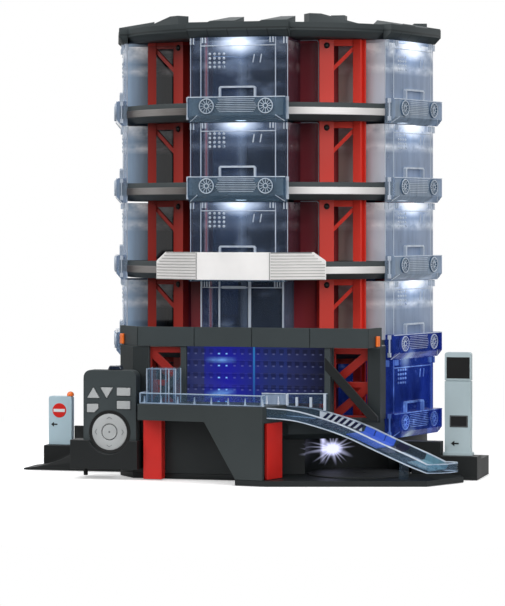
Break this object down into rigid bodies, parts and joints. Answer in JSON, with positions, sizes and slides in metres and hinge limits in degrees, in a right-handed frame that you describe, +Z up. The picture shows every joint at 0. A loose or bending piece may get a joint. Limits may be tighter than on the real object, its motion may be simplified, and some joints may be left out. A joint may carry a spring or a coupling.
{
  "type": "toy parking garage with lift",
  "caption": "Tall round toy car park: clear parking cells round a turning lift, red frames, lobby with balcony and slope, display turntable, ramps, signs and a remote control.",
  "frame": {"origin": "on the lift's axis, at the height of the surface that the garage stands on", "axes": "+Z up, -Y out of the front column and the lobby, +X to the right of someone who faces the front"},
  "size_m": [0.45, 0.3705, 0.44],
  "materials": {
    "charcoal_plastic": "satin",
    "dark_plastic": "satin",
    "red_plastic": "satin",
    "bright_red_plastic": "satin",
    "clear_plastic": "clear, polished",
    "blue_panel": "translucent",
    "smoke_lens": "translucent",
    "amber_lens": "glossy",
    "grey_plastic": "satin",
    "sign_grey_plastic": "satin",
    "sign_blue_plastic": "satin",
    "silver_plate": "silver lacquer"
  },
  "bodies": {
    "garage": {"frame_bay_right": "red_plastic", "frame_bay_rear_right": "red_plastic", "frame_bay_rear": "red_plastic", "frame_bay_rear_left": "red_plastic", "frame_bay_left": "red_plastic", "brace_panel_left": "red_plastic", "brace_panel_right": "red_plastic", "floor_1": "charcoal_plastic", "floor_2": "charcoal_plastic", "floor_3": "charcoal_plastic", "floor_4": "charcoal_plastic", "floor_5": "charcoal_plastic", "roof_cap": "charcoal_plastic", "front_portal": "charcoal_plastic", "collar_band": "charcoal_plastic", "balcony_deck": "charcoal_plastic", "entry_wing": "charcoal_plastic", "exit_ramp": "charcoal_plastic", "case_right_1": "clear_plastic", "case_right_2": "clear_plastic", "case_right_3": "clear_plastic", "case_right_4": "clear_plastic", "case_right_5": "clear_plastic", "case_front_3": "clear_plastic", "case_front_4": "clear_plastic", "case_front_5": "clear_plastic", "case_column_rear_right": "clear_plastic", "case_column_rear_left": "clear_plastic", "case_column_left": "clear_plastic", "front_cover_2": "clear_plastic", "balcony_rail": "clear_plastic", "glass_booth": "clear_plastic", "slope": "clear_plastic", "base_tray": "dark_plastic", "remote_dock": "dark_plastic", "collar_lamp_left": "amber_lens", "collar_lamp_right": "amber_lens", "out_sign_lamp": "amber_lens", "red_column_left": "bright_red_plastic", "red_column_right": "bright_red_plastic", "in_sign": "sign_grey_plastic", "out_sign": "sign_blue_plastic", "sign_board": "silver_plate"},
    "mast": {"lift_mast": "dark_plastic", "turn_gear": "grey_plastic"},
    "carriage": {"lift_carriage": "charcoal_plastic"},
    "tray": {"car_tray": "grey_plastic"},
    "pinion": {"drive_pinion": "grey_plastic"},
    "turntable": {"display_turntable": "dark_plastic"},
    "door_left": {"lobby_door_left": "blue_panel"},
    "door_right": {"lobby_door_right": "blue_panel"},
    "remote": {"remote_body": "charcoal_plastic", "remote_lens": "smoke_lens"},
    "ring_pad_key": {"ring_pad": "grey_plastic"},
    "centre_button_key": {"centre_button": "grey_plastic"},
    "up_button_key": {"up_button": "grey_plastic"},
    "down_button_key": {"down_button": "grey_plastic"},
    "light_button_key": {"light_button": "grey_plastic"},
    "demo_button_key": {"demo_button": "grey_plastic"},
    "cancel_button_key": {"cancel_button": "grey_plastic"}
  },
  "joints": [
    {"name": "mast_turn", "type": "hinge", "parent": "garage", "child": "mast", "pos_m": [0, 0, 0], "axis": [0, 0, 1], "range_deg": [-144, 144]},
    {"name": "lift_travel", "type": "slide", "parent": "mast", "child": "carriage", "axis": [0, 0, 1], "range_m": [-0.0139, 0.2869]},
    {"name": "tray_slide", "type": "slide", "parent": "carriage", "child": "tray", "axis": [0, -1, 0], "range_m": [0, 0.063]},
    {"name": "pinion_spin", "type": "hinge", "parent": "garage", "child": "pinion", "pos_m": [0.0647, 0, 0.014], "axis": [0, 0, 1], "range_deg": [-360, 360]},
    {"name": "turntable_spin", "type": "hinge", "parent": "garage", "child": "turntable", "pos_m": [0.11, -0.124, 0.004], "axis": [0, 0, 1], "continuous": true},
    {"name": "door_left_slide", "type": "slide", "parent": "garage", "child": "door_left", "axis": [-1, 0, 0], "range_m": [0, 0.04]},
    {"name": "door_right_slide", "type": "slide", "parent": "garage", "child": "door_right", "axis": [1, 0, 0], "range_m": [0, 0.04]},
    {"name": "remote_lift_out", "type": "slide", "parent": "garage", "child": "remote", "axis": [0, 0, 1], "range_m": [0, 0.06]},
    {"name": "ring_pad_press", "type": "slide", "parent": "remote", "child": "ring_pad_key", "axis": [0, 1, 0], "range_m": [0, 0.001], "stiffness_N_per_m": 200},
    {"name": "centre_button_press", "type": "slide", "parent": "remote", "child": "centre_button_key", "axis": [0, 1, 0], "range_m": [0, 0.001], "stiffness_N_per_m": 200},
    {"name": "up_button_press", "type": "slide", "parent": "remote", "child": "up_button_key", "axis": [0, 1, 0], "range_m": [0, 0.001], "stiffness_N_per_m": 200},
    {"name": "down_button_press", "type": "slide", "parent": "remote", "child": "down_button_key", "axis": [0, 1, 0], "range_m": [0, 0.001], "stiffness_N_per_m": 200},
    {"name": "light_button_press", "type": "slide", "parent": "remote", "child": "light_button_key", "axis": [0, 1, 0], "range_m": [0, 0.001], "stiffness_N_per_m": 200},
    {"name": "demo_button_press", "type": "slide", "parent": "remote", "child": "demo_button_key", "axis": [0, 1, 0], "range_m": [0, 0.001], "stiffness_N_per_m": 200},
    {"name": "cancel_button_press", "type": "slide", "parent": "remote", "child": "cancel_button_key", "axis": [0, 1, 0], "range_m": [0, 0.001], "stiffness_N_per_m": 200}
  ],
  "couplings": [
    {"joint": "pinion_spin", "follows": "mast_turn", "ratio": -2.5},
    {"joint": "door_right_slide", "follows": "door_left_slide", "ratio": 1}
  ]
}
